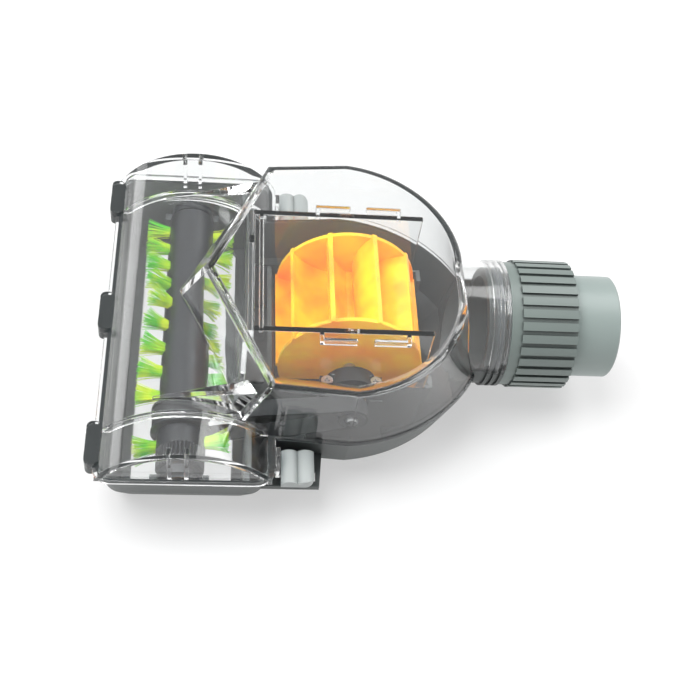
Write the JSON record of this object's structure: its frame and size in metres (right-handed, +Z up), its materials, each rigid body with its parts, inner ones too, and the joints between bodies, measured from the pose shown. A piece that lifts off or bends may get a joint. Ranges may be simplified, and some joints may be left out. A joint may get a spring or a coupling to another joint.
{
  "type": "vacuum turbo brush",
  "caption": "Air-driven turbo brush head with a clear cover, a bristle roller, an orange turbine wheel and a swivelling connector tube.",
  "frame": {"origin": "under the middle of the whole brush, on the floor", "axes": "+X towards the connector tube, +Y along the brush roller to its far end, +Z up"},
  "size_m": [0.174, 0.129, 0.0565],
  "materials": {
    "clear_plastic": "clear gloss",
    "base_grey": "satin",
    "tube_grey": "satin",
    "collar_grey": "satin",
    "latch_grey": "satin",
    "turbine_orange": "gloss",
    "core_dark": "satin",
    "bristle_lime": "satin",
    "drive_plastic": "satin",
    "steel": "ground",
    "bronze": "sintered",
    "rubber_black": "matt",
    "felt_grey": "fibrous"
  },
  "bodies": {
    "housing": {"clear_cover": "clear_plastic", "base_housing": "base_grey", "roller_holder_far": "core_dark", "roller_holder_near": "core_dark", "bearing_cap_far": "core_dark", "bearing_cap_near": "core_dark", "cap_screws": "steel", "turbine_bush_far": "bronze", "turbine_bush_near": "bronze", "roller_bush_far": "bronze", "roller_bush_near": "bronze", "bush_cushion_far": "rubber_black", "bush_cushion_near": "rubber_black", "drive_belt": "rubber_black", "front_strip": "felt_grey", "rear_strip": "felt_grey", "rear_glide": "drive_plastic"},
    "roller": {"roller_core": "core_dark", "roller_end_ring": "core_dark", "roller_pulley": "core_dark", "bristle_row_a": "bristle_lime", "bristle_row_b": "bristle_lime", "roller_pin_far": "steel", "roller_pin_near": "steel"},
    "turbine": {"turbine_wheel": "turbine_orange", "turbine_axle": "steel", "drive_pinion": "core_dark"},
    "connector": {"connector_tube": "tube_grey", "swivel_collar": "collar_grey", "swivel_seal": "felt_grey"},
    "latch_far": {"latch_far": "latch_grey"},
    "latch_near": {"latch_near": "latch_grey"}
  },
  "joints": [
    {"name": "roller_spin", "type": "hinge", "parent": "housing", "child": "roller", "pos_m": [-0.0582, 0, 0.0164], "axis": [0, 1, 0], "continuous": true},
    {"name": "turbine_spin", "type": "hinge", "parent": "housing", "child": "turbine", "pos_m": [-0.0037, 0, 0.0285], "axis": [0, 1, 0], "continuous": true},
    {"name": "connector_swivel", "type": "hinge", "parent": "housing", "child": "connector", "pos_m": [0.06, 0, 0.0305], "axis": [1, 0, 0], "continuous": true},
    {"name": "latch_far_slide", "type": "slide", "parent": "housing", "child": "latch_far", "axis": [1, 0, 0], "range_m": [0, 0.003]},
    {"name": "latch_near_slide", "type": "slide", "parent": "housing", "child": "latch_near", "axis": [1, 0, 0], "range_m": [0, 0.003]}
  ],
  "couplings": [
    {"joint": "roller_spin", "follows": "turbine_spin", "ratio": 0.5}
  ]
}
